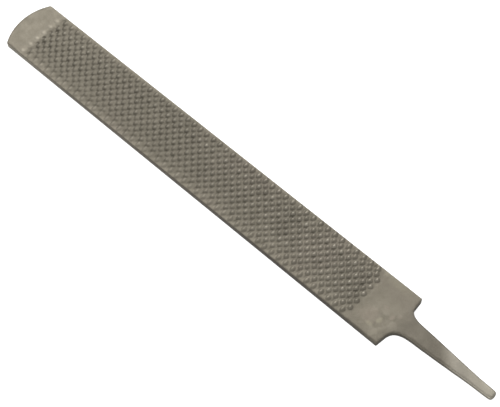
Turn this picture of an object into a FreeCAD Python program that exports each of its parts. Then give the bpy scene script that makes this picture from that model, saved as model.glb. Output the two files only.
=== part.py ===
import FreeCAD, Part
import math
import os

Vector = FreeCAD.Vector
os.makedirs("parts", exist_ok=True)

# Flat tanged rasp forged from one piece of steel bar: a parallel blade, one
# wide face covered with punched pyramid teeth, plain blanks at the toe and the
# heel, and a tang drawn out behind the heel shoulders for a wooden handle.
#
# Frame, in mm: X = 0 is the shoulder line, +X runs to the toe, +Z is the
# outward normal of the toothed face, Z = 0 is half way through the bar.

# ------------------------------------------------------------- blade
BLADE_LEN = 355.6          # shoulder line to the crown of the toe (14 inch class)
BLADE_W = 43.5             # parallel over its whole length
BLADE_T = 5.0              # bar thickness under the teeth
TOE_CROWN = 6.5            # how far the toe arc stands in front of its corners
TOE_CORNER_R = {-1: 1.8, 1: 0.4}   # the -Y and the +Y corner of the toe
HEEL_CORNER_R = 0.8
HEEL_SKEW = 0.95           # +Y shoulder corner stands this far ahead of X = 0, -Y one behind
EDGE_BREAK = 0.5           # 45 degree chamfer on the back edge of the blade
EDGE_BREAK_FROM = 8.0      # X where the chamfer starts

HALF_W = BLADE_W / 2.0
TOP_Z = BLADE_T / 2.0
BACK_Z = -BLADE_T / 2.0
TOE_R = (HALF_W ** 2 + TOE_CROWN ** 2) / (2.0 * TOE_CROWN)
TOE_CENTRE_X = BLADE_LEN - TOE_R

# ------------------------------------------------------------- tang
TANG_LEN = 76.7            # shoulder line to the tip
TANG_TIP_T = 3.6           # thickness at the tip
TANG_TAPER_FROM = 12.0     # the thickness starts to fall this far behind the shoulder line
# Half outlines of the tang, as (distance behind the shoulder line, distance
# from the centre line). The tang sits a little towards -Y.
TANG_LOW_Y = [
    (1.8, 13.02), (2.4, 11.63), (3.5, 10.33), (4.8, 9.38), (6.0, 8.84),
    (8.0, 8.24), (10.4, 7.87), (13.3, 7.64), (18.7, 7.37), (27.5, 6.79),
    (36.1, 6.2), (45.1, 5.47), (53.7, 4.91), (60.0, 4.48), (66.2, 4.28)]
TANG_HIGH_Y = [
    (0.15, 13.24), (0.75, 11.24), (1.75, 9.44), (3.1, 8.04), (4.2, 7.3), (5.4, 6.75),
    (6.7, 6.28), (8.0, 5.92), (9.5, 5.65), (12.0, 5.38), (15.2, 5.22), (23.8, 4.92),
    (32.4, 4.52), (40.9, 4.01), (50.0, 3.49), (58.6, 2.98), (66.9, 2.74)]
TANG_TIP_LOW_Y = -3.95     # the two corners of the blunt tip
TANG_TIP_HIGH_Y = 2.4
TANG_TIP_R = 2.3           # and their radius

# ------------------------------------------------------------- teeth
ROW_PITCH = 6.13           # along the blade, tooth to tooth in one line
TEETH_PER_LINE = 50        # staggered lines have one fewer, so both ends of the cut are straight
LINE_SPACING = 3.28        # across the blade, from one line to the next
LINES = 12                 # alternate lines are staggered by half a row pitch
FIRST_LINE_Y = -18.5       # half way along the blade
LINE_SKEW = 0.0028         # the lines run slightly off the blade's axis, in mm per mm
FIRST_ROW_X = 29.7         # heel-most tooth of the first line
LAST_LINE_SHIFT = 0.9      # the last line stands a little further out
PIT_FRONT = 3.05           # from the tooth to the toe-side point of its pit
TOOTH_TAIL = 2.45          # from the tooth to the heel-side tail of its back
WALL_X = 0.30              # where the cutting wall crosses the face, ahead of the tooth
TOOTH_HALF_W = 2.55        # half the width of the tooth at the face
OUTER_HALF_W = 2.95        # the same for the wider teeth of the first and the last line
PIT_DEPTH = 0.85
TOOTH_H = 0.70             # height of the crest above the face
WALL_LEAN = 30.0           # degrees the cutting wall leans back towards the heel

# ------------------------------------------------------------- construction
PRISM_HEAD = 3.0           # the prism rises this far above the face, clear of the crests
CHAMFER_OVER = 1.0         # how far the chamfer cutter reaches outside the blade
WEDGE_OVER = 5.0           # how far a taper wedge runs past the tang tip
WEDGE_H = 6.0
WEDGE_HALF_W = 20.0
SLAB_END_MARGIN = 6.0      # how far the slab stands outside the tool, at the ends
SIDE_MARGIN = 5.0          # and at the sides
SEW_TOLERANCE = 1e-4


def closed(points):
    """Closed polygon through the points."""
    return Part.makePolygon(list(points) + [points[0]])


def flat_face(points):
    return Part.Face(closed(points))


# ------------------------------------------------------------- outline
def rounded_corner(before, tip, after, radius):
    """Start, middle and end of the arc that rounds the corner tip."""
    to_before = (before - tip).normalize()
    to_after = (after - tip).normalize()
    half_angle = 0.5 * to_before.getAngle(to_after)
    setback = radius / math.tan(half_angle)
    bisector = (to_before + to_after).normalize()
    middle = tip + bisector * (radius / math.sin(half_angle) - radius)
    return tip + to_before * setback, middle, tip + to_after * setback


def toe_corner(side, z):
    """Rounded toe corner: its end on the toe arc, its middle, its end on the long edge."""
    radius = TOE_CORNER_R[side]
    centre_y = HALF_W - radius
    ahead = math.sqrt((TOE_R - radius) ** 2 - centre_y ** 2)
    toe_centre = Vector(TOE_CENTRE_X, 0, z)
    centre = Vector(TOE_CENTRE_X + ahead, side * centre_y, z)
    outward = (centre - toe_centre).normalize()
    middle = centre + (outward + Vector(0, side, 0)).normalize() * radius
    return toe_centre + outward * TOE_R, middle, Vector(centre.x, side * HALF_W, z)


def arc(points):
    """Arc through a start, a middle and an end point."""
    return Part.Arc(*points).toShape()


def spline(points):
    """Smooth curve through the points."""
    curve = Part.BSplineCurve()
    curve.interpolate(points)
    return curve.toShape()


def outline(z):
    """Closed wire round the whole tool in the plane z."""
    low = [Vector(-x, -y, z) for x, y in TANG_LOW_Y]
    high = [Vector(-x, y, z) for x, y in TANG_HIGH_Y]
    tip_low = Vector(-TANG_LEN, TANG_TIP_LOW_Y, z)
    tip_high = Vector(-TANG_LEN, TANG_TIP_HIGH_Y, z)

    # Each corner is the three points of its arc.
    toe_high = toe_corner(1, z)
    toe_low = toe_corner(-1, z)
    heel_low = rounded_corner(
        toe_low[2], Vector(-HEEL_SKEW, -HALF_W, z), low[0], HEEL_CORNER_R)
    heel_high = rounded_corner(
        high[0], Vector(HEEL_SKEW, HALF_W, z), toe_high[2], HEEL_CORNER_R)
    end_low = rounded_corner(low[-1], tip_low, tip_high, TANG_TIP_R)
    end_high = rounded_corner(tip_low, tip_high, high[-1], TANG_TIP_R)

    edges = [
        # toe
        arc((toe_high[0], Vector(BLADE_LEN, 0, z), toe_low[0])),
        arc(toe_low),
        # long edge and shoulder, -Y
        Part.makeLine(toe_low[2], heel_low[0]),
        arc(heel_low),
        Part.makeLine(heel_low[2], low[0]),
        # tang and its blunt tip
        spline(low),
        Part.makeLine(low[-1], end_low[0]),
        arc(end_low),
        Part.makeLine(end_low[2], end_high[0]),
        arc(end_high),
        Part.makeLine(end_high[2], high[-1]),
        spline(high[::-1]),
        # shoulder and long edge, +Y
        Part.makeLine(high[0], heel_high[0]),
        arc(heel_high),
        Part.makeLine(heel_high[2], toe_high[2]),
        arc(toe_high[::-1]),
    ]
    return Part.Wire(Part.__sortEdges__(edges))


# ------------------------------------------------------------- prism
def taper_wedge(side):
    """Metal taken off the +Z or -Z side of the tang so that it thins to its tip."""
    start_z = side * BLADE_T / 2.0
    tip_z = side * TANG_TIP_T / 2.0
    far_x = -(TANG_LEN + WEDGE_OVER)
    slope = (start_z - tip_z) / (TANG_LEN - TANG_TAPER_FROM)
    far_z = start_z - slope * (-far_x - TANG_TAPER_FROM)
    outer_z = start_z + side * WEDGE_H
    profile = [(-TANG_TAPER_FROM, start_z), (far_x, far_z),
               (far_x, outer_z), (-TANG_TAPER_FROM, outer_z)]
    face = flat_face([Vector(x, -WEDGE_HALF_W, z) for x, z in profile])
    return face.extrude(Vector(0, 2.0 * WEDGE_HALF_W, 0))


def chamfer_profile(edge):
    """Triangle that breaks the back edge, as (distance outwards, z); edge is its distance."""
    outer = edge + CHAMFER_OVER
    return [(edge - EDGE_BREAK, BACK_Z), (outer, BACK_Z),
            (outer, BACK_Z + EDGE_BREAK + CHAMFER_OVER)]


def side_chamfer(side):
    """Cutter for the back edge along one side of the blade."""
    face = flat_face([Vector(EDGE_BREAK_FROM, side * y, z) for y, z in chamfer_profile(HALF_W)])
    return face.extrude(Vector(BLADE_LEN - TOE_CROWN - EDGE_BREAK_FROM, 0, 0))


def toe_chamfer():
    """Cutter for the back edge round the toe: the part of a ring ahead of the toe corners."""
    face = flat_face([Vector(TOE_CENTRE_X + r, 0, z) for r, z in chamfer_profile(TOE_R)])
    ring = face.revolve(Vector(TOE_CENTRE_X, 0, 0), Vector(0, 0, 1), 360.0)
    toe_box = Part.makeBox(
        40.0, BLADE_W + 2.0 * SIDE_MARGIN, 10.0,
        Vector(BLADE_LEN - TOE_CROWN, -HALF_W - SIDE_MARGIN, BACK_Z - 2.0))
    return ring.common(toe_box)


def bar_prism():
    """The tool without teeth, standing above the crests; it trims the toothed slab."""
    prism = Part.Face(outline(BACK_Z)).extrude(Vector(0, 0, BLADE_T + PRISM_HEAD))
    cutters = [taper_wedge(1), taper_wedge(-1), side_chamfer(1), side_chamfer(-1), toe_chamfer()]
    for cutter in cutters:
        prism = prism.cut(cutter)
    return prism.Solids[0]


# ------------------------------------------------------------- toothed slab
def tooth(x, y, half_width):
    """Kite-shaped hole in the top face and the five flat facets that close it."""
    lean = math.tan(math.radians(WALL_LEAN))
    wall_x = x + WALL_X
    front = Vector(x + PIT_FRONT, y, TOP_Z)
    left = Vector(wall_x, y + half_width, TOP_Z)      # +Y end of the wall
    right = Vector(wall_x, y - half_width, TOP_Z)     # -Y end of the wall
    tail = Vector(x - TOOTH_TAIL, y, TOP_Z)
    pit = Vector(wall_x + PIT_DEPTH * lean, y, TOP_Z - PIT_DEPTH)
    crest = Vector(wall_x - TOOTH_H * lean, y, TOP_Z + TOOTH_H)
    facets = [
        flat_face([front, left, pit]),           # pit slopes
        flat_face([front, pit, right]),
        flat_face([left, crest, right, pit]),    # cutting wall
        flat_face([left, tail, crest]),          # slopes of the tooth's back
        flat_face([right, crest, tail]),
    ]
    return closed([front, left, tail, right]), facets


def all_teeth():
    """Holes and facets of every tooth, line by line from -Y to +Y."""
    holes = []
    facets = []
    for line in range(LINES):
        stagger = line % 2
        line_y = FIRST_LINE_Y + line * LINE_SPACING
        if line == LINES - 1:
            line_y += LAST_LINE_SHIFT
        half_width = OUTER_HALF_W if line in (0, LINES - 1) else TOOTH_HALF_W
        for row in range(TEETH_PER_LINE - stagger):
            x = FIRST_ROW_X + (row + 0.5 * stagger) * ROW_PITCH
            y = line_y + LINE_SKEW * (x - BLADE_LEN / 2.0)
            hole, tooth_facets = tooth(x, y, half_width)
            holes.append(hole)
            facets += tooth_facets
    return holes, facets


def toothed_slab():
    """Slab wider and longer than the tool, with the teeth sewn into its top face."""
    heel_x, toe_x = -(TANG_LEN + SLAB_END_MARGIN), BLADE_LEN + SLAB_END_MARGIN
    side_y = HALF_W + SIDE_MARGIN
    plan = [(heel_x, -side_y), (toe_x, -side_y), (toe_x, side_y), (heel_x, side_y)]
    upper = [Vector(x, y, TOP_Z) for x, y in plan]
    lower = [Vector(x, y, BACK_Z) for x, y in plan]

    holes, facets = all_teeth()
    top_face = Part.makeFace([closed(upper)] + holes, "Part::FaceMakerBullseye")
    sides = [flat_face([upper[k - 4], upper[k - 3], lower[k - 3], lower[k - 4]])
             for k in range(4)]
    faces = Part.Compound([top_face] + facets + sides + [flat_face(lower)])
    faces.sewShape(SEW_TOLERANCE)
    slab = Part.makeSolid(Part.Shell(faces.Faces))
    if slab.Volume < 0:
        slab.reverse()
    return slab


rasp = toothed_slab().common(bar_prism()).Solids[0]
rasp.exportStep("parts/rasp_blank.step")
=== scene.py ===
"""A hand rasp: a flat steel bar with a tapered tang, lying on a white floor.

X = 0 at the shoulder line, +X to the toe, -X to the tip of the tang. The punched rasp teeth
are on the +Z face and the double-cut file teeth on the -Z face. The mesh is laid out in
millimetres and turned into metres when it is made.
"""
import math

import bpy
import numpy as np
from mathutils import Matrix, Vector
from mathutils.geometry import delaunay_2d_cdt


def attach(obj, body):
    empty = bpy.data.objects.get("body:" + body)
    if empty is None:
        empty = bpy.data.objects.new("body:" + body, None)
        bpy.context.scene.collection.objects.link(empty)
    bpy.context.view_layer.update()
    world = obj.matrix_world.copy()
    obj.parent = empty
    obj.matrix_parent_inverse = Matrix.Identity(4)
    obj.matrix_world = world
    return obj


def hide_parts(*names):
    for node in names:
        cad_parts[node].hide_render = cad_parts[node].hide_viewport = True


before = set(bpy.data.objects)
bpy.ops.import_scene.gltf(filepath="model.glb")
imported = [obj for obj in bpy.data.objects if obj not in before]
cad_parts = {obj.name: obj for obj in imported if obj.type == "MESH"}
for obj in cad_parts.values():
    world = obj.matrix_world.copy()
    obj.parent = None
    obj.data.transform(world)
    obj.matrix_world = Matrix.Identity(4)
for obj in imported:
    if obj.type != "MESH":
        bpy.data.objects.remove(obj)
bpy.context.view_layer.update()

MM = 0.001

# ------------------------------------------------------------------ sizes, mm
BLADE_LEN, BLADE_W, BLADE_T = 355.6, 43.5, 5.0
HALF_W, HALF_T = BLADE_W / 2, BLADE_T / 2
TOE_CROWN = 6.5                        # how far the middle of the toe bulges
TOE_CORNER_R = {-1: 1.8, 1: 0.4}       # by the side of Y
HEEL_CORNER_R = 0.8
HEEL_SKEW = 0.95                       # heel corners: +X of the shoulder line on +Y, -X on -Y
TANG_LEN, TANG_TIP_T, TAPER_FROM = 76.7, 3.6, 12.0
TIP_Y_LO, TIP_Y_HI, TIP_R = -3.95, 2.4, 2.3

# Sides of the tang: (distance from the shoulder line, distance from the centre line)
TANG_LO = [(1.8, 13.02), (2.4, 11.63), (3.5, 10.33), (4.8, 9.38), (6.0, 8.84), (8.0, 8.24),
           (10.4, 7.87), (13.3, 7.64), (18.7, 7.37), (27.5, 6.79), (36.1, 6.2), (45.1, 5.47),
           (53.7, 4.91), (60.0, 4.48), (66.2, 4.28)]
TANG_HI = [(0.15, 13.24), (0.75, 11.24), (1.75, 9.44), (3.1, 8.04), (4.2, 7.3), (5.4, 6.75),
           (6.7, 6.28), (8.0, 5.92), (9.5, 5.65), (12.0, 5.38), (15.2, 5.22), (23.8, 4.92),
           (32.4, 4.52), (40.9, 4.01), (50.0, 3.49), (58.6, 2.98), (66.9, 2.74)]

# Outline spacing
TOE_STEP, HEEL_STEP, SHOULDER_STEP, TANG_STEP, TIP_STEP = 1.6, 1.8, 1.2, 1.0, 0.8
CORNER_SEGMENTS, TOE_SEGMENTS = 5, 34

# Edge radii between the faces and the narrow sides
TOP_EDGE_R, BACK_EDGE_R, TANG_EDGE_R = 0.25, 0.32, 0.95

# Rasp teeth stand in lines along X, and every second line is shifted by half a pitch
TOOTH_PITCH, TEETH, LINES, LINE_STEP = 6.13, 50, 12, 3.28
FIRST_X, FIRST_Y = 29.7, -18.5
LAST_SHIFT = 0.9                       # extra +Y of the last line
LINE_SKEW = 0.0028                     # drift of a line in Y per mm of X
LAST_LINE_Y = FIRST_Y + (LINES - 1) * LINE_STEP + LAST_SHIFT

# Grid stations along X, from each half pitch: crest, front wall and foot of a tooth
STATION_OFFSETS = np.array([0.15, 0.45, 0.75, 1.05, 1.55, 2.05, 2.60])
GRID_X0, GRID_X1 = 26.6, 338.6
# Grid rows across Y, from a line of teeth
BEFORE_FIRST = np.array([2.50, 2.00, 1.55, 1.15, 0.78, 0.38])
ROW_OFFSETS = np.array([0, 0.38, 0.78, 1.20, 1.64, 2.08, 2.50, 2.90])
WIDE_OFFSETS = np.array([0, 0.40, 0.82, 1.30, 1.85, 2.45, 3.00, 3.45, 3.84])
AFTER_LAST = np.array([0, 0.40, 0.85, 1.35, 1.9, 2.45])

WAVE_TOP, WAVE_BACK = 0.0, 2.0         # phases of the unevenness of the two faces
TANG_Y = (-9, 7)                       # box across the tang that free points are scattered in
TANG_BOX_X1 = -10.6

rng = np.random.default_rng(14)


# ------------------------------------------------------------------ plane curves
def point(x, y):
    return np.array([x, y], float)


def unit(vector):
    return vector / np.linalg.norm(vector)


def round_corner(before, tip, after, radius):
    """Start, middle and end of the arc that rounds the corner at tip."""
    to_before, to_after = unit(before - tip), unit(after - tip)
    half = 0.5 * math.acos(max(-1.0, min(1.0, float(to_before @ to_after))))
    reach = radius / math.tan(half)
    bisector = unit(to_before + to_after)
    centre = tip + bisector * (radius / math.sin(half))
    return tip + to_before * reach, centre - bisector * radius, tip + to_after * reach


def arc(start, middle, end, segments):
    """Points on the circle through three points, from start to end."""
    (x_a, y_a), (x_b, y_b), (x_c, y_c) = start, middle, end
    det = 2 * (x_a * (y_b - y_c) + x_b * (y_c - y_a) + x_c * (y_a - y_b))
    sq_a, sq_b, sq_c = (x * x + y * y for x, y in (start, middle, end))
    centre = point((sq_a * (y_b - y_c) + sq_b * (y_c - y_a) + sq_c * (y_a - y_b)) / det,
                   (sq_a * (x_c - x_b) + sq_b * (x_a - x_c) + sq_c * (x_b - x_a)) / det)
    radius = np.linalg.norm(start - centre)
    first, mid, last = (math.atan2(*(p - centre)[::-1]) for p in (start, middle, end))
    turn = 2 * math.pi
    anticlockwise = (mid - first) % turn < (last - first) % turn
    span = (last - first) % turn if anticlockwise else -((first - last) % turn)
    angle = first + span * np.linspace(0, 1, segments + 1)
    return np.stack([centre[0] + radius * np.cos(angle), centre[1] + radius * np.sin(angle)], 1)


def natural_cubic(knots, values, at):
    """Natural cubic spline through the values at the knots, read at the given places."""
    count = len(knots)
    gap = np.diff(knots)
    system, rhs = np.zeros((count, count)), np.zeros(count)
    system[0, 0] = system[-1, -1] = 1
    for i in range(1, count - 1):
        system[i, i - 1:i + 2] = gap[i - 1], 2 * (gap[i - 1] + gap[i]), gap[i]
        rhs[i] = 6 * ((values[i + 1] - values[i]) / gap[i] - (values[i] - values[i - 1]) / gap[i - 1])
    bend = np.linalg.solve(system, rhs)
    k = np.clip(np.searchsorted(knots, at) - 1, 0, count - 2)
    left, right = (knots[k + 1] - at) / gap[k], (at - knots[k]) / gap[k]
    return (left * values[k] + right * values[k + 1]
            + ((left ** 3 - left) * bend[k] + (right ** 3 - right) * bend[k + 1]) * gap[k] ** 2 / 6)


def smooth(points, step):
    points = np.array(points, float)
    chords = np.linalg.norm(np.diff(points, axis=0), axis=1)
    knots = np.concatenate([[0], np.cumsum(chords)])
    at = np.linspace(0, knots[-1], max(2, int(math.ceil(knots[-1] / step))) + 1)
    return np.stack([natural_cubic(knots, points[:, axis], at) for axis in (0, 1)], 1)


def straight(start, end, step):
    count = max(1, int(math.ceil(np.linalg.norm(end - start) / step)))
    return start + (end - start) * np.linspace(0, 1, count + 1)[:, None]


# ------------------------------------------------------------------ outline
cols = np.concatenate([FIRST_X + k * TOOTH_PITCH / 2 + STATION_OFFSETS
                       for k in range(-1, 2 * TEETH + 3)])
cols = cols[(cols > GRID_X0) & (cols < GRID_X1)]


def toe_corner(side, toe_r, toe_centre):
    """Rounding of a toe corner: its point on the toe arc, its middle and its point on the side."""
    radius = TOE_CORNER_R[side]
    x = toe_centre[0] + math.sqrt((toe_r - radius) ** 2 - (HALF_W - radius) ** 2)
    centre = point(x, side * (HALF_W - radius))
    out = unit(centre - toe_centre)
    return (toe_centre + out * toe_r, centre + unit(out + point(0, side)) * radius,
            point(centre[0], side * HALF_W))


def blade_outline():
    """Points counter-clockwise seen from +Z, starting where the grid starts on the -Y side,
    and the indices of the grid's stations on the -Y and +Y sides."""
    toe_r = (HALF_W ** 2 + TOE_CROWN ** 2) / (2 * TOE_CROWN)
    toe_centre = point(BLADE_LEN - toe_r, 0)
    toe_hi, toe_mid_hi, side_hi = toe_corner(1, toe_r, toe_centre)
    toe_lo, toe_mid_lo, side_lo = toe_corner(-1, toe_r, toe_centre)
    tang_lo = [point(-x, -y) for x, y in TANG_LO]
    tang_hi = [point(-x, y) for x, y in TANG_HI]
    heel_lo = round_corner(side_lo, point(-HEEL_SKEW, -HALF_W), tang_lo[0], HEEL_CORNER_R)[::-1]
    heel_hi = round_corner(tang_hi[0], point(HEEL_SKEW, HALF_W), side_hi, HEEL_CORNER_R)[::-1]
    end_lo, end_hi = point(-TANG_LEN, TIP_Y_LO), point(-TANG_LEN, TIP_Y_HI)
    tip_lo = round_corner(tang_lo[-1], end_lo, end_hi, TIP_R)[::-1]
    tip_hi = round_corner(end_lo, end_hi, tang_hi[-1], TIP_R)[::-1]
    parts = [
        np.stack([cols, np.full(len(cols), -HALF_W)], 1),
        straight(point(cols[-1], -HALF_W), side_lo, TOE_STEP)[1:],
        arc(side_lo, toe_mid_lo, toe_lo, CORNER_SEGMENTS)[1:],
        arc(toe_lo, point(BLADE_LEN, 0), toe_hi, TOE_SEGMENTS)[1:],
        arc(toe_hi, toe_mid_hi, side_hi, CORNER_SEGMENTS)[1:],
        straight(side_hi, point(cols[-1], HALF_W), TOE_STEP)[1:-1],
        np.stack([cols[::-1], np.full(len(cols), HALF_W)], 1),
        straight(point(cols[0], HALF_W), heel_hi[0], HEEL_STEP)[1:],
        arc(*heel_hi, CORNER_SEGMENTS)[1:],
        straight(heel_hi[2], tang_hi[0], SHOULDER_STEP)[1:],
        smooth(tang_hi, TANG_STEP)[1:],
        straight(tang_hi[-1], tip_hi[0], SHOULDER_STEP)[1:],
        arc(*tip_hi, CORNER_SEGMENTS)[1:],
        straight(tip_hi[2], tip_lo[0], TIP_STEP)[1:],
        arc(*tip_lo, CORNER_SEGMENTS)[1:],
        straight(tip_lo[2], tang_lo[-1], SHOULDER_STEP)[1:],
        smooth(tang_lo[::-1], TANG_STEP)[1:],
        straight(tang_lo[0], heel_lo[0], SHOULDER_STEP)[1:],
        arc(*heel_lo, CORNER_SEGMENTS)[1:],
        straight(heel_lo[2], point(cols[0], -HALF_W), HEEL_STEP)[1:-1],
    ]
    stations = np.arange(len(cols))
    first_hi = sum(len(part) for part in parts[:6])
    return np.concatenate(parts), stations, first_hi + stations[::-1]


def inward_normals(outline):
    def left(step):
        step = step / np.linalg.norm(step, axis=1, keepdims=True)
        return np.stack([-step[:, 1], step[:, 0]], 1)

    normals = left(np.roll(outline, -1, 0) - outline) + left(outline - np.roll(outline, 1, 0))
    return normals / np.linalg.norm(normals, axis=1, keepdims=True)


# ------------------------------------------------------------------ height of the faces
def half_thickness(x):
    taper = np.clip((-TAPER_FROM - x) / (TANG_LEN - TAPER_FROM), 0, 1)
    return HALF_T - (BLADE_T - TANG_TIP_T) / 2 * taper


def wave(x, y, phase):
    """Unevenness of a hand-forged face: a few hundredths on the blade, more on the tang."""
    on_tang = np.clip((-x - 4) / 14, 0, 1)
    blade = (0.028 * np.sin(x / 23.0 + 1.3 * phase) + 0.022 * np.sin(x / 9.1 + y / 13.0 + phase)
             + 0.018 * np.sin(y / 6.3 - x / 31.0 + 2 * phase))
    tang = 0.07 * np.sin(x / 4.3 + phase) + 0.05 * np.sin(x / 2.1 + y / 1.7 + 3 * phase)
    return blade + on_tang * tang


# ------------------------------------------------------------------ rasp teeth
CREST_AT = 0.20                        # crest of a tooth, towards the toe from its place
LIP_BACK, LIP_FRONT = 2.45, 1.35       # length of the lip on the heel and toe sides of the crest
PIT_AT, PIT_HALF_LEN, PIT_SHIFT_Y, PIT_NARROWING = 2.05, 1.10, 0.5, 0.72
LIP_HEIGHT, PIT_DEPTH, LIP_HALF_W = 0.68, 0.22, 2.20
EDGE_LINE_WIDER, FIRST_LINE_HIGHER, LAST_PIT_DEEPER = 1.22, 1.12, 1.9
TOOTH_REACH, STRIKE_REACH = 3.9, 3.0   # half sizes of the grid windows they are added in

# One row per line, from -Y to +Y: lip height, brightness of the crests, depth of the pits
LINE_LOOKS = [(1.02, 1.00, 0.55), (0.84, 0.35, 0.42), (1.16, 1.75, 0.52), (0.93, 0.50, 1.45),
              (1.10, 1.30, 0.72), (0.90, 0.60, 1.02), (1.10, 1.40, 1.00), (0.88, 0.60, 1.42),
              (1.08, 1.40, 0.80), (0.84, 0.25, 0.82), (1.06, 1.00, 0.42), (0.90, 0.55, 0.75)]

# Random spread of x, y, lip height, pit depth, width, crest brightness and scoop darkness (grime and
# painted shade), in drawing order
TOOTH_SPREAD = (0.10, 0.12, 0.08, 0.20, 0.04, 0.22, 0.30)

# Drift of the two outer lines along X: (x stations, drift)
DRIFT = {0: ([40, 76, 106, 136, 166, 330], [-1.6, -0.8, -0.1, -0.1, -0.5, -0.6]),
         LINES - 1: ([40, 76, 106, 136, 166, 196, 226, 286, 316, 330],
                     [-0.20, 0.20, 0.55, 0.88, 1.38, 1.62, 2.30, 2.50, 1.95, 1.40])}
LEANING_LINES, LEAN = (3, 5, 7, 9), ([170, 250], [0.0, -0.7])

# Trends from heel to toe, less on the +Y side past tilt_from: scoop darkness (grime and painted
# shade), crest brightness (rubbed wear and painted highlight) and height
SCOOP_DARKNESS = dict(stations=[45, 95, 150, 200, 260, 330], tilt=0.20, tilt_from=60,
                 values=[1.32, 1.28, 1.05, 0.90, 0.76, 0.74], y_mid=0, y_span=10.0)
BRIGHTNESS = dict(stations=[45, 110, 200, 330], values=[1.30, 1.10, 0.48, 0.34],
                  tilt=0.45, tilt_from=90, y_mid=-5, y_span=12.0, lowest=-0.8)
STANDING = dict(stations=[45, 110, 190, 330], values=[1.10, 1.00, 0.70, 0.54],
                tilt=0.14, tilt_from=80, y_mid=0, y_span=12.0)
TILT_RUN = 60                          # length over which the tilt sets in


def trend(x, y, stations, values, tilt, tilt_from, y_mid, y_span, lowest=-1):
    across = np.clip((y - y_mid) / y_span, lowest, 1)
    return np.interp(x, stations, values) * (
        1 - tilt * np.clip((x - tilt_from) / TILT_RUN, 0, 1) * across)


def patchy(x, y):
    """Slow unevenness along and across the blade, about -1..1."""
    return (np.sin(x / 17.3 + 1.1) * np.sin(y / 5.1 + x / 41.0)
            + 0.6 * np.sin(x / 7.9 - y / 6.7 + 0.4)
            + 0.5 * np.sin(x / 53.0 + y / 9.0 + 2.0)) / 1.7


def lip_height(along, across, height, half_width):
    """A half-cone tongue that ends in a lip with a steep front towards the toe."""
    behind = (np.clip(CREST_AT - along, 0, None) / LIP_BACK) ** 1.35
    front = (np.clip(along - CREST_AT, 0, None) / LIP_FRONT) ** 1.6
    rise = np.clip(1 - behind - front - (np.abs(across) / half_width) ** 1.8, 0, 1)
    return height * rise ** 0.92


def pit_depth(along, across, depth, half_width):
    """The scoop the lip was raised from. It lies a little to the -Y side."""
    lengthwise = (along - PIT_AT) / PIT_HALF_LEN
    crosswise = (across + PIT_SHIFT_Y) / (PIT_NARROWING * half_width)
    return depth * np.clip(1 - lengthwise ** 2 - crosswise ** 2, 0, 1)


def grime_and_shade_scoop(along, across):
    """Oval of grime and painted shade in front of a lip, lying askew on its -Y side."""
    x, y = along - 2.0, across + 1.45
    return 0.85 * np.clip(1 - ((x + y) / 2.9) ** 2 - ((x - y) / 2.05) ** 2, 0, 1)


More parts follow.
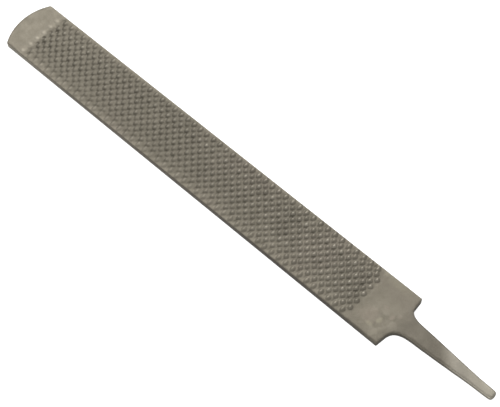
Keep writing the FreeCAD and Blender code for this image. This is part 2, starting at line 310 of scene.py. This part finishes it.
class ToothedFace:
    """Grid over the cut zone: relief in mm, pale where rubbed bright and painted highlight lies on
    the crests, dark where grime and painted shade lie in the scoops.
    """

    def __init__(self):
        lines = [FIRST_Y + j * LINE_STEP + ROW_OFFSETS for j in range(LINES - 2)]
        self.rows = np.concatenate([
            [-HALF_W + TOP_EDGE_R], FIRST_Y - BEFORE_FIRST, *lines,
            FIRST_Y + (LINES - 2) * LINE_STEP + WIDE_OFFSETS, LAST_LINE_Y + AFTER_LAST,
            [HALF_W - TOP_EDGE_R]])
        self.x, self.y = np.meshgrid(cols, self.rows, indexing="ij")
        self.relief, self.pale, self.dark = (np.zeros_like(self.x) for _ in range(3))
        for line in range(LINES):
            line_y = FIRST_Y + line * LINE_STEP + (LAST_SHIFT if line == LINES - 1 else 0)
            for place in range(TEETH - line % 2):
                self.punch(line, line_y, place)
            if line % 2:
                self.light_strike(line_y)
        self.relief[0, :] = self.relief[-1, :] = 0.0

    def window(self, x, y, reach):
        x_from, x_to = np.searchsorted(cols, [x - reach, x + reach])
        y_from, y_to = np.searchsorted(self.rows, [y - reach, y + reach])
        return slice(x_from, x_to), slice(y_from, y_to)

    def punch(self, line, line_y, place):
        """Adds one tooth with its pit."""
        dx, dy, *spread = (rng.normal(0, scale) for scale in TOOTH_SPREAD)
        vary_height, vary_depth, vary_width, vary_shine, vary_scoop_dark = (1 + s for s in spread)
        if line == 0 and place == 0:
            return                     # this place has no tooth, but its draws are made
        line_height, line_shine, line_depth = LINE_LOOKS[line]
        place_x = FIRST_X + (place + 0.5 * (line % 2)) * TOOTH_PITCH
        x = place_x + dx
        if line in DRIFT:
            x += np.interp(place_x, *DRIFT[line])
        y = line_y + LINE_SKEW * (place_x - BLADE_LEN / 2) + dy

        scoop_dark = trend(x, y, **SCOOP_DARKNESS) * (1 + 0.16 * patchy(x, y))
        height = (LIP_HEIGHT * line_height * trend(x, y, **STANDING)
                  * (1 + 0.10 * patchy(x, y)) * vary_height)
        depth = PIT_DEPTH * line_depth * vary_depth
        half_width = LIP_HALF_W * vary_width
        if line in (0, LINES - 1):
            half_width *= EDGE_LINE_WIDER
        if line == 0:
            height *= FIRST_LINE_HIGHER
        if place == TEETH - 1 - line % 2:
            depth *= LAST_PIT_DEEPER   # the toe-most pits run into nothing and stay open

        part = self.window(x, y, TOOTH_REACH)
        along, across = self.x[part] - x, self.y[part] - y
        lean = np.interp(place_x, *LEAN) if line in LEANING_LINES else 0.0
        lip = lip_height(along - lean, across, height, half_width)
        self.relief[part] += lip - pit_depth(along, across, depth, half_width)
        # Painted highlight with rubbed wear on the crest, lighter the higher the lip
        crest = np.clip(lip / height - 0.12, 0, 0.75) / 0.75
        shine = line_shine * (1.0 if line == LINES - 1 else trend(x, y, **BRIGHTNESS))
        self.pale[part] += 0.72 * crest * shine * vary_shine
        # Painted shade with grime in the scoop in front of the lip
        self.dark[part] += (grime_and_shade_scoop(along, across) * scoop_dark * line_depth
                            * np.clip(vary_scoop_dark, 0.2, 2))

    def light_strike(self, line_y):
        """Adds the faint raised mark beyond the toe end of a staggered line, with a painted highlight
        on it.
        """
        x = FIRST_X + (TEETH - 0.5) * TOOTH_PITCH + 2.6
        y = line_y + LINE_SKEW * (x - BLADE_LEN / 2)
        part = self.window(x, y, STRIKE_REACH)
        dist_sq = ((self.x[part] - x) / 1.8) ** 2 + ((self.y[part] - y) / 1.6) ** 2
        self.relief[part] += 0.18 * np.clip(1 - dist_sq, 0, 1)
        # Painted highlight on the mark
        self.pale[part] += (1.25 + 0.25 * rng.normal()) * np.exp(-dist_sq / 0.9)


# ------------------------------------------------------------------ mesh parts
def inside(polygon, points):
    x, y = points[:, 0], points[:, 1]
    hit = np.zeros(len(points), bool)
    for (x_a, y_a), (x_b, y_b) in zip(polygon, np.roll(polygon, -1, 0)):
        if y_a == y_b:
            continue
        hit ^= ((y_a > y) != (y_b > y)) & (x < (x_b - x_a) * (y - y_a) / (y_b - y_a) + x_a)
    return hit


def distance(polygon, points, chunk=2000):
    """Distance from each point to the polygon's sides, worked out in chunks to save memory."""
    side = np.roll(polygon, -1, 0) - polygon
    length_sq = (side ** 2).sum(1)
    out = np.empty(len(points))
    for first in range(0, len(points), chunk):
        some = points[first:first + chunk, None, :]
        t = np.clip(((some - polygon) * side).sum(2) / length_sq, 0, 1)
        offset = (polygon + t[..., None] * side) - some
        out[first:first + chunk] = np.sqrt((offset ** 2).sum(2)).min(1)
    return out


def scatter(x_range, y_range, step, jitter):
    """Staggered grid of slightly shaken points."""
    xs, ys = np.arange(*x_range, step), np.arange(*y_range, step)
    points = np.stack(np.meshgrid(xs, ys, indexing="ij"), -1)
    points[:, 1::2] += [step / 2, 0]
    return points.reshape(-1, 2) + rng.uniform(-jitter, jitter, (len(xs) * len(ys), 2))


def free_points(polygon, boxes, margin):
    points = np.concatenate([scatter(*box) for box in boxes])
    return points[inside(polygon, points) & (distance(polygon, points) > margin)]


class Skin:
    """Vertices with their named values, and faces, gathered piece by piece."""

    def __init__(self):
        self.blocks, self.faces = [], []
        self.values = {"relief": [], "pale": [], "dark": []}

    def add(self, x, y, z, **values):
        """Adds vertices and returns their indices. Values not given are 0."""
        first = sum(len(block) for block in self.blocks)
        self.blocks.append(np.stack([x, y, z], 1))
        for name, stored in self.values.items():
            stored.append(values.get(name, np.zeros(len(x))))
        return first + np.arange(len(x))

    def plan(self, ids):
        return np.concatenate(self.blocks)[ids][:, :2]

    def fill(self, loop, points, z, relief, flip=False, creases=()):
        """Triangles over the polygon of the loop's vertices, with free points inside it.

        creases: pairs of free points that must be joined by an edge."""
        coords = np.concatenate([self.plan(loop), points])
        ids = np.concatenate([loop, self.add(points[:, 0], points[:, 1], z, relief=relief)])
        count = len(loop)
        held = [(count + a, count + b) for a, b in creases]
        result = delaunay_2d_cdt([Vector(c) for c in coords], held, [list(range(count))], 1, 1e-7)
        source = [origin[0] for origin in result[3]]
        for triangle in result[2]:
            corners = [ids[source[k]] for k in triangle]
            self.faces.append(tuple(corners[::-1] if flip else corners))

    def fill_blank(self, loop, boxes, margin):
        """A plain part of the +Z face."""
        points = free_points(self.plan(loop), boxes, margin)
        x, y = points.T
        self.fill(loop, points, half_thickness(x) + wave(x, y, WAVE_TOP), np.zeros(len(x)))


def add_rim(skin, outline, low_side, high_side, teeth):
    """Rounded edges and narrow sides. Returns the rings that bound the +Z and -Z faces."""
    tang_mix = np.clip((-outline[:, 0] - 1.0) / 16.0, 0, 1)
    tang_mix = tang_mix * tang_mix * (3 - 2 * tang_mix)
    relief = np.zeros(len(outline))
    relief[low_side] = teeth.relief[:, 0]
    relief[high_side] = teeth.relief[:, -1]
    half, inward = half_thickness(outline[:, 0]), inward_normals(outline)
    at_45 = 1 - math.sqrt(0.5)
    rings = []
    # inset and drop in edge radii, side of Z
    for inset, drop, side in ((1, 0, 1), (at_45, at_45, 1), (0, 1, 1),
                              (0, 1, -1), (at_45, at_45, -1), (1, 0, -1)):
        blade_r = TOP_EDGE_R if side > 0 else BACK_EDGE_R
        radius = blade_r + (TANG_EDGE_R - blade_r) * tang_mix
        x, y = (outline + inward * (radius * inset)[:, None]).T
        uneven = wave(x, y, WAVE_TOP if side > 0 else WAVE_BACK)
        if side > 0:
            rings.append(skin.add(x, y, half + uneven + relief - radius * drop, relief=relief))
        else:
            rings.append(skin.add(x, y, -half + uneven + radius * drop))
    for upper, lower in zip(rings[:-1], rings[1:]):
        for i in range(len(outline)):
            j = (i + 1) % len(outline)
            skin.faces.append((upper[i], lower[i], lower[j], upper[j]))
    return rings[0], rings[-1]


def add_toothed_face(skin, teeth, top_ring, low_side, high_side):
    """A grid whose two long sides are the top ring. Returns its vertex indices."""
    x, y, relief, pale, dark = (field[:, 1:-1].ravel() for field in (
        teeth.x, teeth.y, teeth.relief, teeth.pale, teeth.dark))
    inner = skin.add(x, y, HALF_T + wave(x, y, WAVE_TOP) + relief,
                     relief=relief, pale=pale, dark=dark)
    grid = np.column_stack([top_ring[low_side], inner.reshape(len(cols), -1),
                            top_ring[high_side]])
    for near, far in zip(grid[:-1], grid[1:]):
        for j in range(len(near) - 1):
            skin.faces.append((near[j], far[j], far[j + 1], near[j + 1]))
    return grid


# ------------------------------------------------------------------ file teeth on the -Z face
FILE_X0, FILE_X1 = 27.0, 341.0
CUT_PITCH = (1.75, 1.55)
CUT_ANGLE = (52, -44)                  # degrees, directions across the two sets of cuts
CUT_DEPTH, CUT_RUNOUT = 0.38, 1.5
PEAK_AT = (0.64, 0.58)                 # place of a peak between the cuts, in pitches
FILE_MARGIN = 0.35                     # uncut strip inside the rounded edge
PLAIN_GAP = 0.6                        # from the cuts to the free points of the plain ends


def in_file_zone(points):
    x, y = points.T
    return ((x > FILE_X0) & (x < FILE_X1)
            & (np.abs(y) < HALF_W - BACK_EDGE_R - FILE_MARGIN))


def run_out(points):
    """The cuts fade at both ends of the file zone."""
    x = points[:, 0]
    return np.clip(np.minimum(x - FILE_X0, FILE_X1 - x) / CUT_RUNOUT, 0, 1)


def add_filed_face(skin, ring):
    across = [point(math.cos(a), math.sin(a)) for a in map(math.radians, CUT_ANGLE)]
    to_plan = np.linalg.inv(np.stack(across))
    first, second = np.meshgrid(np.arange(-40, 280), np.arange(-40, 290), indexing="ij")
    first, second = first.ravel(), second.ravel()
    pitch_a, pitch_b = CUT_PITCH
    valley = np.stack([first * pitch_a, second * pitch_b], 1) @ to_plan.T
    peak = np.stack([(first + PEAK_AT[0]) * pitch_a,
                     (second + PEAK_AT[1]) * pitch_b], 1) @ to_plan.T

    kept = in_file_zone(valley)
    crossing = {(int(a), int(b)): k for k, (a, b) in enumerate(zip(first[kept], second[kept]))}
    grooves = [(k, crossing[beside]) for (a, b), k in crossing.items()
               for beside in ((a + 1, b), (a, b + 1)) if beside in crossing]
    valley, peak = valley[kept], peak[in_file_zone(peak)]
    depth = CUT_DEPTH * run_out(valley) * (1 + rng.normal(0, 0.06, len(valley)))
    peak_fade = run_out(peak)
    peak_dip = np.abs(rng.normal(0, 0.02, len(peak))) * peak_fade
    plain = free_points(skin.plan(ring), [
        ((-10, FILE_X0 - PLAIN_GAP), (-HALF_W, HALF_W), 2.0, 0.2),
        ((FILE_X1 + PLAIN_GAP, BLADE_LEN), (-HALF_W, HALF_W), 2.0, 0.2),
        ((-TANG_LEN, TANG_BOX_X1), TANG_Y, 1.4, 0.15)], margin=0.7)

    points = np.concatenate([valley, peak, plain])
    x, y = points.T
    flat = np.zeros(len(plain))
    z = -half_thickness(x) + wave(x, y, WAVE_BACK) + np.concatenate([depth, peak_dip, flat])
    relief = np.concatenate([-depth, 0.25 * peak_fade, flat])
    skin.fill(ring, points, z, relief, flip=True, creases=grooves)


# ------------------------------------------------------------------ shader nodes
class Graph:
    """Short ways to add nodes. Inputs may be sockets or plain values."""

    def __init__(self, owner, clear=True):
        owner.use_nodes = True
        self.tree = owner.node_tree
        if clear:
            self.tree.nodes.clear()

    def node(self, kind, inputs=None):
        node = self.tree.nodes.new("ShaderNode" + kind)
        for key, value in (inputs or {}).items():
            if isinstance(value, bpy.types.NodeSocket):
                self.tree.links.new(value, node.inputs[key])
            else:
                node.inputs[key].default_value = value
        return node

    def math(self, operation, *values, clamp=False):
        node = self.node("Math", dict(enumerate(values)))
        node.operation = operation
        node.use_clamp = clamp
        return node.outputs[0]

    def add(self, a, b):
        return self.math("ADD", a, b)

    def multiply(self, result, *factors):
        for factor in factors:
            result = self.math("MULTIPLY", result, factor)
        return result

    def centred(self, value, scale):
        """A noise value moved to swing about 0, then scaled."""
        return self.multiply(self.math("SUBTRACT", value, 0.5), scale)

    def remap(self, value, over, to=(0.0, 1.0)):
        return self.node("MapRange", {"Value": value, "From Min": over[0], "From Max": over[1],
                                      "To Min": to[0], "To Max": to[1]}).outputs["Result"]

    def attribute(self, name):
        node = self.node("Attribute")
        node.attribute_name = name
        return node.outputs["Fac"]


# ------------------------------------------------------------------ steel
# Dark colour for grime, also laid as painted shade in the hollows of the cut zone
GRIME_AND_SHADE = (0.062, 0.055, 0.041, 1)
LIGHT_STEEL, DARK_SPECK = (0.215, 0.194, 0.153, 1), (0.105, 0.095, 0.074, 1)
# Crest colour of rubbed steel, also used as painted highlight; then the rub mark colour
RUBBED_AND_HIGHLIGHT, RUB_MARK = (0.38, 0.349, 0.287, 1), (0.31, 0.282, 0.225, 1)
WARM, SALLOW = (0.325, 0.272, 0.222, 1), (0.335, 0.312, 0.225, 1)
SCALE, BARE, BARE_TIP = (0.068, 0.060, 0.053, 1), (0.36, 0.335, 0.285, 1), (0.40, 0.372, 0.300, 1)
# Painted shade and painted light for the narrow sides
SIDE_SHADE, SIDE_PAINTED_LIGHT = (0.044, 0.039, 0.031, 1), (0.40, 0.368, 0.300, 1)
# (noise value, colour) of the slow colour changes
BASE_STOPS = [(0.30, (0.156, 0.142, 0.110, 1)), (0.50, (0.170, 0.153, 0.119, 1)),
              (0.70, (0.190, 0.167, 0.134, 1))]
# Soft patches on the plain heel: centre x, y, radii along x, y, colour, strength
HEEL_PATCHES = [
    (17.5, 9.5, 7.5, 6.5, WARM, 0.26), (9.8, 8.6, 2.3, 2.6, SALLOW, 0.36),
    (13.6, 14.2, 2.6, 2.0, SALLOW, 0.30), (5.2, 1.2, 1.9, 2.4, WARM, 0.34),
    (1.6, -2.6, 1.7, 2.0, WARM, 0.24), (12.0, -1.6, 2.6, 1.7, WARM, 0.24),
    (16.0, -21.0, 14.0, 5.0, SALLOW, 0.20), (15.0, 21.0, 14.0, 4.5, GRIME_AND_SHADE, 0.06)]


class Steel(Graph):
    """Bare steel, painted in layers over places in mm."""

    def __init__(self, material):
        super().__init__(material)
        coord = self.node("TexCoord").outputs["Object"]
        self.place = self.node("Mapping", {"Vector": coord, "Scale": (1000,) * 3}).outputs[0]
        self.x, self.y, self.z = self.node("SeparateXYZ", {0: self.place}).outputs
        self.relief = self.attribute("relief")
        self.mid = self.noise(scale=0.16, detail=4.0, rough=0.6)
        self.fine = self.noise(scale=1.6, detail=5.0, rough=0.65)
        self.ragged = self.noise(scale=0.30, detail=2.0, rough=0.5)
        self.base_coat()
        self.cut_zone()
        self.plain_ends()
        self.tang()
        self.narrow_sides()
        shader = self.node("BsdfPrincipled", {
            "Base Color": self.colour, "Metallic": 0.80, "Roughness": self.roughness(),
            "Normal": self.bump()})
        self.node("OutputMaterial", {0: shader.outputs[0]})

    def noise(self, scale, detail, rough, stretch=None):
        coord = self.place
        if stretch:
            coord = self.node("Mapping", {"Vector": coord, "Scale": stretch}).outputs[0]
        return self.node("TexNoise", {"Vector": coord, "Scale": scale, "Detail": detail,
                                      "Roughness": rough}).outputs["Fac"]

    def tint(self, factor, colour):
        """Mixes a colour over what is there. 0, 6 and 7 are the colour mix's sockets."""
        mix = self.node("Mix")
        mix.data_type = "RGBA"
        self.tree.links.new(factor, mix.inputs[0])
        self.tree.links.new(self.colour, mix.inputs[6])
        mix.inputs[7].default_value = colour
        self.colour = mix.outputs[2]

    def toothed_side(self):
        """1 on the +Z face, 0 below its edge."""
        return self.remap(self.z, over=(1.9, 2.4))

    def base_coat(self):
        base = self.node("ValToRGB", {0: self.noise(scale=0.022, detail=2.0, rough=0.5)})
        stops = base.color_ramp.elements
        stops.remove(stops[-1])
        stops[0].position, stops[0].color = BASE_STOPS[0]
        for position, colour in BASE_STOPS[1:]:
            stops.new(position).color = colour
        self.colour = base.outputs[0]
        self.tint(self.remap(self.mid, over=(0.36, 0.66), to=(0.0, 0.75)), LIGHT_STEEL)
        self.tint(self.remap(self.fine, over=(0.45, 0.75), to=(0.0, 0.32)), DARK_SPECK)

    def cut_zone(self):
        """Duller than the plain ends from grime and painted shade of the teeth, with grime and
        painted shade between the teeth and rubbed wear with painted highlight on the crests.
        """
        x, y, remap, multiply = self.x, self.y, self.remap, self.multiply
        ragged_x = self.add(x, self.centred(self.ragged, 7.0))
        zone = multiply(
            remap(ragged_x, over=(26.2, 29.0)), remap(ragged_x, over=(335.0, 332.6)),
            self.toothed_side(),
            multiply(remap(y, over=(20.5, 16.9), to=(0.26, 1.0)),
                     remap(y, over=(-21.2, -18.2), to=(0.34, 1.0))))
        # Darkening of the whole cut zone: grime, and the painted shade of the teeth
        dull = multiply(remap(x, over=(66.0, 190.0), to=(0.10, 0.50)),
                        remap(x, over=(190.0, 250.0), to=(1.0, 1.10)),
                        remap(x, over=(265.0, 330.0), to=(1.0, 0.87)))
        self.tint(multiply(zone, dull), GRIME_AND_SHADE)
        # Painted shade, with grime, in the low ground between the teeth and in the scoops in front of
        # the lips
        low = multiply(remap(self.relief, over=(0.30, -0.06)),
                       remap(x, over=(120.0, 300.0), to=(0.28, 0.08)),
                       remap(y, over=(11.0, 13.2), to=(1.0, 0.25)))
        scoops = multiply(self.attribute("dark"), remap(x, over=(130.0, 260.0), to=(0.32, 0.19)))
        shade_and_grime = multiply(self.add(low, scoops), zone)
        blotches = self.noise(scale=0.085, detail=3.0, rough=0.6)
        uneven = remap(blotches, over=(0.35, 0.65), to=(0.65, 1.35))
        self.tint(self.math("MULTIPLY", shade_and_grime, uneven, clamp=True), GRIME_AND_SHADE)
        # Painted highlight, partly rubbed wear, on the crests
        self.tint(self.math("MULTIPLY", self.attribute("pale"), 0.30, clamp=True), RUBBED_AND_HIGHLIGHT)

    def plain_ends(self):
        """Rub marks, mostly on +Y, and soft patches on the heel, then a darker colour on both ends,
        on the heel more towards -Y.
        """
        x, y, remap, multiply = self.x, self.y, self.remap, self.multiply
        rubs = multiply(
            remap(self.noise(scale=0.19, detail=2.0, rough=0.4), over=(0.50, 0.68)),
            multiply(remap(x, over=(27.0, 22.0)), remap(x, over=(-2.0, 3.0))),
            multiply(remap(y, over=(-14.0, 4.0)), self.toothed_side()))
        self.tint(multiply(rubs, 0.30), RUB_MARK)
        for patch in HEEL_PATCHES:
            self.patch(*patch)
        heel = multiply(remap(x, over=(27.0, 25.5)), remap(y, over=(6.0, -8.0), to=(0.10, 0.19)),
                        remap(x, over=(-1.0, 6.0), to=(0.3, 1.0)))
        toe = multiply(remap(x, over=(335.0, 337.0)),
                       remap(self.mid, over=(0.35, 0.65), to=(0.15, 0.05)))
        self.tint(self.add(heel, toe), GRIME_AND_SHADE)

    def patch(self, x, y, radius_x, radius_y, colour, strength):
        dx, dy = (self.math("DIVIDE", self.math("SUBTRACT", value, centre), radius)
                  for value, centre, radius in ((self.x, x, radius_x), (self.y, y, radius_y)))
        dist_sq = self.add(self.multiply(dx, dx), self.multiply(dy, dy))
        dist_sq = self.add(dist_sq, self.centred(self.ragged, 2.2))
        spot = self.remap(dist_sq, over=(1.25, 0.0))
        self.tint(self.multiply(spot, self.toothed_side(), strength), colour)

    def tang(self):
        """Dark scale at the root, bare towards the tip, with an uneven front between them."""
        front = self.add(self.add(self.x, self.centred(self.mid, 9.0)),
                         self.multiply(self.y, 1.1))
        self.tint(self.multiply(self.remap(self.x, over=(5.0, -6.0)),
                                self.remap(front, over=(-42.0, -34.0), to=(0.0, 0.27))), SCALE)
        self.tint(self.remap(front, over=(-34.0, -45.0), to=(0.0, 0.50)), BARE)
        self.tint(self.remap(front, over=(-47.0, -72.0), to=(0.0, 0.40)), BARE_TIP)

    def narrow_sides(self):
        """Painted shade on the narrow sides and the +Y rim, fading towards the toe, and painted light
        on the sides at the toe.
        """
        x, remap, multiply = self.x, self.remap, self.multiply
        normal = self.node("NewGeometry").outputs["True Normal"]
        upright = self.math("ABSOLUTE", self.node("SeparateXYZ", {0: normal}).outputs[2])
        side = remap(upright, over=(0.50, 0.20))
        rim = multiply(remap(self.y, over=(20.2, 21.3), to=(0.0, 0.75)),
                       remap(x, over=(-2.0, 4.0)))
        along = multiply(remap(x, over=(90.0, 270.0), to=(0.62, 0.03)),
                         remap(x, over=(6.0, 34.0), to=(0.62, 1.0)))
        # Painted shade on the narrow sides and the +Y rim
        self.tint(multiply(self.math("MAXIMUM", side, rim), along), SIDE_SHADE)
        # Painted light on the narrow sides near the toe
        self.tint(multiply(side, remap(x, over=(285.0, 338.0), to=(0.0, 0.46))), SIDE_PAINTED_LIGHT)

    def roughness(self):
        return self.add(self.remap(self.fine, over=(0.3, 0.7), to=(0.44, 0.58)),
                        self.remap(self.relief, over=(0.2, 0.8), to=(0.0, -0.08)))

    def bump(self):
        grain = self.noise(scale=7.0, detail=2.0, rough=0.6)
        streak = self.noise(scale=1.0, detail=4.0, rough=0.6, stretch=(0.05, 1.9, 1.9))
        marks = self.add(self.multiply(grain, 0.35), self.multiply(streak, 0.5))
        height = self.add(self.multiply(self.fine, 0.7), marks)
        return self.node("Bump", {"Strength": 0.5, "Distance": 0.00006,
                                  "Height": height}).outputs[0]


# ------------------------------------------------------------------ objects
def link_object(name, data):
    item = bpy.data.objects.new(name, data)
    bpy.context.scene.collection.objects.link(item)
    return item


def build_rasp():
    outline, low_side, high_side = blade_outline()
    teeth = ToothedFace()
    skin = Skin()
    top_ring, back_ring = add_rim(skin, outline, low_side, high_side, teeth)
    grid = add_toothed_face(skin, teeth, top_ring, low_side, high_side)
    toe_loop = np.concatenate([top_ring[low_side[-1]:high_side[-1] + 1], grid[-1, 1:-1][::-1]])
    skin.fill_blank(toe_loop, [((cols[-1], BLADE_LEN), (-HALF_W, HALF_W), 1.5, 0.12)],
                    margin=0.55)
    heel_loop = np.concatenate([top_ring[high_side[0]:], [top_ring[0]], grid[0, 1:-1]])
    skin.fill_blank(heel_loop, [((-10, cols[0]), (-HALF_W, HALF_W), 1.5, 0.12),
                                ((-TANG_LEN, TANG_BOX_X1), TANG_Y, 1.0, 0.1)], margin=0.5)
    back_from = len(skin.faces)
    add_filed_face(skin, back_ring)

    mesh = bpy.data.meshes.new("rasp")
    faces = [tuple(int(k) for k in face) for face in skin.faces]
    mesh.from_pydata((np.concatenate(skin.blocks) * MM).tolist(), [], faces)
    for name, blocks in skin.values.items():
        attribute = mesh.attributes.new(name, "FLOAT", "POINT")
        attribute.data.foreach_set("value", np.concatenate(blocks).astype(np.float32))
    mesh.update()
    rasp = link_object("rasp", mesh)

    # the chisel cuts of the -Z face are flat facets; everything else is smooth
    mesh.set_sharp_from_angle(angle=math.radians(50))
    relief = np.concatenate(skin.values["relief"])
    soft = np.ones(len(faces), bool)
    for i in range(back_from, len(faces)):
        soft[i] = max(abs(relief[k]) for k in faces[i]) < 0.05
    mesh.polygons.foreach_set("use_smooth", soft)

    material = bpy.data.materials.new("bare_steel")
    Steel(material)
    mesh.materials.append(material)
    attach(rasp, "root")
    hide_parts("rasp_blank")


def build_floor():
    """A white floor that also glows, but only to the camera."""
    material = bpy.data.materials.new("floor_white")
    graph = Graph(material)
    seen = graph.node("LightPath").outputs["Is Camera Ray"]
    glow = graph.node("Emission", {"Strength": graph.multiply(seen, 0.80)})
    diffuse = graph.node("BsdfDiffuse", {"Color": (0.85, 0.85, 0.85, 1)})
    both = graph.node("AddShader", {0: diffuse.outputs[0], 1: glow.outputs[0]})
    graph.node("OutputMaterial", {0: both.outputs[0]})

    half, z = 6.0, (-HALF_T - 0.15) * MM     # metres
    mesh = bpy.data.meshes.new("floor")
    corners = [(-half, -half, z), (half, -half, z), (half, half, z), (-half, half, z)]
    mesh.from_pydata(corners, [], [(0, 1, 2, 3)])
    floor = link_object("floor", mesh)
    mesh.materials.append(material)


def build_world():
    """A white surround, dimmer as a light than as the camera sees it."""
    world = bpy.data.worlds.new("studio")
    bpy.context.scene.world = world
    graph = Graph(world, clear=False)
    background = graph.tree.nodes["Background"]
    background.inputs[0].default_value = (1.0, 1.0, 1.0, 1)
    seen = graph.node("LightPath").outputs["Is Camera Ray"]
    level = graph.remap(seen, over=(0.0, 1.0), to=(0.50, 1.0))
    graph.tree.links.new(level, background.inputs[1])


def area_light(name, location, size, power):
    """A square lamp turned to a point on the blade, in metres and watts."""
    target = Vector((0.14, 0, 0))
    data = bpy.data.lights.new(name, "AREA")
    data.shape = "RECTANGLE"
    data.size = data.size_y = size
    data.energy = power
    lamp = link_object(name, data)
    lamp.location = location
    lamp.rotation_mode = "QUATERNION"
    lamp.rotation_quaternion = (target - Vector(location)).to_track_quat("-Z", "Y")


def build_camera():
    data = bpy.data.cameras.new("camera")
    data.sensor_width = 36.0
    data.lens = 108.54504
    data.clip_start, data.clip_end = 0.05, 20.0
    camera = link_object("camera", data)
    right = (-0.72987, -0.68261, -0.03636)
    up = (0.58544, -0.65167, 0.48227)
    backward = (-0.35290, 0.33071, 0.87527)
    turn = Matrix((right, up, backward)).transposed().to_4x4()
    place = Vector((-226.34857, 334.89245, 885.36984)) * MM
    camera.matrix_world = Matrix.Translation(place) @ turn
    bpy.context.scene.camera = camera


build_rasp()
build_floor()
build_world()
area_light("key", location=(1.85, -1.70, 2.60), size=2.4, power=84.0)
area_light("fill", location=(-0.4, 1.6, 0.55), size=1.2, power=15.0)
build_camera()
bpy.context.scene.view_settings.view_transform = "Standard"
bpy.context.scene.view_settings.look = "None"
